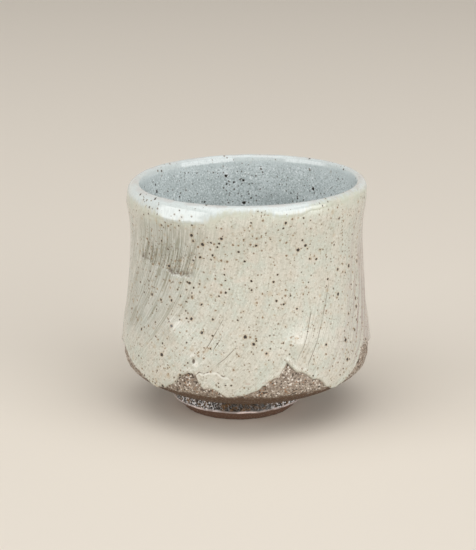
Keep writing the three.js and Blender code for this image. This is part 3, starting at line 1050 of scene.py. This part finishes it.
def lined_colour(shader, colour):
    """A colour that gives way in streaks to the grey-blue lining with its white flecks."""
    streaks = shader.math("MULTIPLY_ADD", shader.noise(0.9, shader.upright(), detail=3), 7, -3.5)
    inside = shader.ramp(shader.math("ADD", shader.field("depth"), streaks), -2.5, 2.5)
    blue = shader.mottled(LINING_BLUE, LINING_MOTTLING)
    flecks, _ = shader.specks(*WHITE_FLECKS)
    blue = shader.mix(shader.times(flecks, FLECK_STRENGTH), blue, FLECK_WHITE)
    return shader.mix(inside, colour, blue)


def glossy(shader, colour):
    """A glassy glaze, smooth to the touch."""
    gloss = shader.ramp(shader.noise(3), 0.35, 0.7, 0.06, 0.14)
    normal = shader.bump(shader.noise(1.6), 0.05)
    return shader.finish(Base_Color=colour, Roughness=gloss, IOR=GLAZE_IOR, Normal=normal)


# Materials

def slip_material():
    shader = Shader("brushed_slip")
    colour, lines = brushed_colour(shader)
    colour = speckled(shader, melted_colour(shader, colour))
    normal = shader.bump(shader.math("ADD", lines, shader.noise(0.6, detail=3)), 0.04)
    gloss = shader.ramp(shader.noise(2.5, detail=3), 0.35, 0.7, 0.08, 0.2)
    gloss = shader.math("MULTIPLY_ADD", shader.field("dry"), 0.25, gloss)
    return shader.finish(Base_Color=colour, Roughness=gloss, IOR=GLAZE_IOR, Normal=normal)


def rim_material():
    shader = Shader("rim_glaze")
    colour, _ = brushed_colour(shader)
    colour = lined_colour(shader, melted_colour(shader, colour))
    from_crest = shader.math("ABSOLUTE", shader.math("ADD", shader.field("depth"), CREST_DROP))
    patchy = shader.ramp(shader.noise(7), 0.4, 0.6, 0, 0.4)
    colour = shader.mix(shader.times(shader.ramp(from_crest, 0.2, 0.8, 1, 0), patchy), colour, LIP_PINK)
    return glossy(shader, speckled(shader, colour, rust=0.5, fewer=0.38))


def lining_material():
    shader = Shader("inside_glaze")
    return glossy(shader, speckled(shader, lined_colour(shader, GLAZE_WHITE), rust=0.15))


def clay_material():
    shader = Shader("bare_clay")
    distance, pick = shader.cells(GRAIN_SIZE, shader.place)
    grains = shader.add("ValToRGB", {0: pick})
    stops = grains.color_ramp.elements
    grains.color_ramp.interpolation = "CONSTANT"
    stops[0].position, stops[0].color = GRAIN_COLOURS[0]
    stops[1].position, stops[1].color = GRAIN_COLOURS[-1]
    for position, shade in GRAIN_COLOURS[1:-1]:
        stops.new(position).color = shade
    fine = shader.noise(0.4, detail=4, roughness=0.7)
    colour = shader.mix(shader.ramp(fine, 0.45, 0.7, 0, 0.55), grains.outputs[0], CLAY_MID)
    height = shader.add("SeparateXYZ", {0: shader.place}).outputs[2]
    # The turned band is its own brown, darkened with painted shade under the belly.
    ragged = shader.math("MULTIPLY_ADD", shader.noise(3, detail=3), BAND_RAGGED, height)
    colour = shader.mix(shader.ramp(ragged, *BAND_FADE, 0.95, 0), colour, TURNED_BROWN_AND_SHADE)
    colour = shader.mix(shader.ramp(height, *FOOT_FADE, 0.9, 0), colour, CLAY_FOOT)
    sparkle = shader.ramp(pick, 0.8, 0.9, 0.7, 0.3)
    normal = shader.bump(shader.math("SUBTRACT", fine, distance), 0.12)
    return shader.finish(Base_Color=colour, Roughness=sparkle, Normal=normal)


def foot_glaze_material():
    shader = Shader("foot_glaze")
    colour = shader.mottled(FOOT_BROWN, FOOT_MOTTLING)
    # Pale flecks painted on as the glaze's sparkling highlights.
    sparkle_spots = shader.ramp(shader.noise(0.75, detail=3, roughness=0.6), 0.52, 0.58)
    crystals = shader.ramp(shader.field("crystals"), 0, 0.8, 0.12, 0.9)
    colour = shader.mix(shader.times(sparkle_spots, crystals), colour, FOOT_SPARKLE_WHITE)
    # The bead along the glaze's lower edge: paler glaze, painted brighter as a highlight.
    edge = shader.math("MULTIPLY_ADD", shader.noise(1.5), 0.6, shader.field("bead"))
    patchy = shader.ramp(shader.noise(5), 0.4, 0.6, 0.45, 1)
    colour = shader.mix(shader.times(shader.ramp(edge, 1, 1.6, 1, 0), patchy), colour, BEAD_HIGHLIGHT_PINK)
    gloss = shader.ramp(shader.noise(1.5), 0.35, 0.7, 0.03, 0.12)
    normal = shader.bump(shader.noise(0.8, detail=3), 0.45)
    return shader.finish(Base_Color=colour, Roughness=gloss, IOR=FOOT_GLAZE_IOR, Normal=normal)


def table_material():
    return Shader("table").finish(Base_Color=TABLE, Roughness=0.9)


# The table, light and camera, in metres and radians.
TABLE_HALF = 1.45
LAMP_DISTANCE = 1.8
CAMERA_PLACE = (0, -0.652, 0.2374)
CAMERA_DOWN = 0.2823
CAMERA_TURN = 0.0046
LENS_MM = 122.73
SENSOR_MM = 36

# Soft lamps aimed at the bowl: name, bearing and climb in degrees, width, height, power in watts.
LAMPS = [
    ("left_lamp", -67, 16, 1.62, 1.08, 12.8),
    ("right_lamp", 48, 16, 2.07, 1.08, 18.5),
    ("top_lamp", 0, 72, 2.4, 2.4, 22),
]


def make_table():
    corners = [(-1, -1), (1, -1), (1, 1), (-1, 1)]
    mesh = bpy.data.meshes.new("table")
    mesh.from_pydata([(TABLE_HALF * x, TABLE_HALF * y, 0) for x, y in corners], [], [(0, 1, 2, 3)])
    mesh.materials.append(table_material())
    table = linked("table", mesh)


def make_lamp(name, bearing, climb, width, height, power):
    light = bpy.data.lights.new(name, "AREA")
    light.shape = "RECTANGLE"
    light.size = width
    light.size_y = height
    light.energy = power
    lamp = linked(name, light)
    turn = math.radians(bearing)
    up = math.radians(climb)
    level = LAMP_DISTANCE * math.cos(up)
    lamp.location = (
        level * math.sin(turn),
        -level * math.cos(turn),
        LAMP_DISTANCE * math.sin(up) + HEIGHT * MM / 2,
    )
    lamp.rotation_euler = (math.pi / 2 - up, 0, turn)


def make_world():
    """Soft light from all round, with the table's colour where the world itself is seen."""
    world = bpy.data.worlds.new("studio")
    world.use_nodes = True
    tree = world.node_tree
    rays = tree.nodes.new("ShaderNodeLightPath").outputs
    seen = rays["Is Camera Ray"]
    for name in ("Is Glossy Ray", "Is Transmission Ray"):
        either = tree.nodes.new("ShaderNodeMath")
        either.operation = "MAXIMUM"
        tree.links.new(seen, either.inputs[0])
        tree.links.new(rays[name], either.inputs[1])
        seen = either.outputs[0]
    colour = tree.nodes.new("ShaderNodeMix")
    colour.data_type = "RGBA"
    colour.inputs[6].default_value = SKY
    colour.inputs[7].default_value = TABLE
    tree.links.new(seen, colour.inputs[0])
    tree.links.new(colour.outputs[2], tree.nodes["Background"].inputs["Color"])
    bpy.context.scene.world = world


def make_camera():
    view = bpy.data.cameras.new("camera")
    view.sensor_width = SENSOR_MM
    view.lens = LENS_MM
    camera = linked("camera", view)
    camera.location = CAMERA_PLACE
    camera.rotation_euler = (math.pi / 2 - CAMERA_DOWN, 0, CAMERA_TURN)
    bpy.context.scene.camera = camera


PIECES = [
    (make_clay, clay_material, "clay_body", "bare_clay"),
    (make_foot, clay_material, "foot", "bare_clay"),
    (make_slip, slip_material, "slip_coat", "brushed_slip"),
    (make_rim, rim_material, "rim_glaze", "rim_glaze"),
    (make_lining, lining_material, "inside_glaze", "inside_glaze"),
    (make_foot_glaze, foot_glaze_material, "foot_glaze", "foot_glaze"),
]
for make_piece, make_material, node_name, slot_name in PIECES:
    piece = make_piece()
    piece.data.materials.append(make_material())
    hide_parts(node_name)
    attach(piece, "root")

make_table()
for lamp_values in LAMPS:
    make_lamp(*lamp_values)
make_world()
make_camera()
bpy.context.scene.view_settings.view_transform = "Standard"
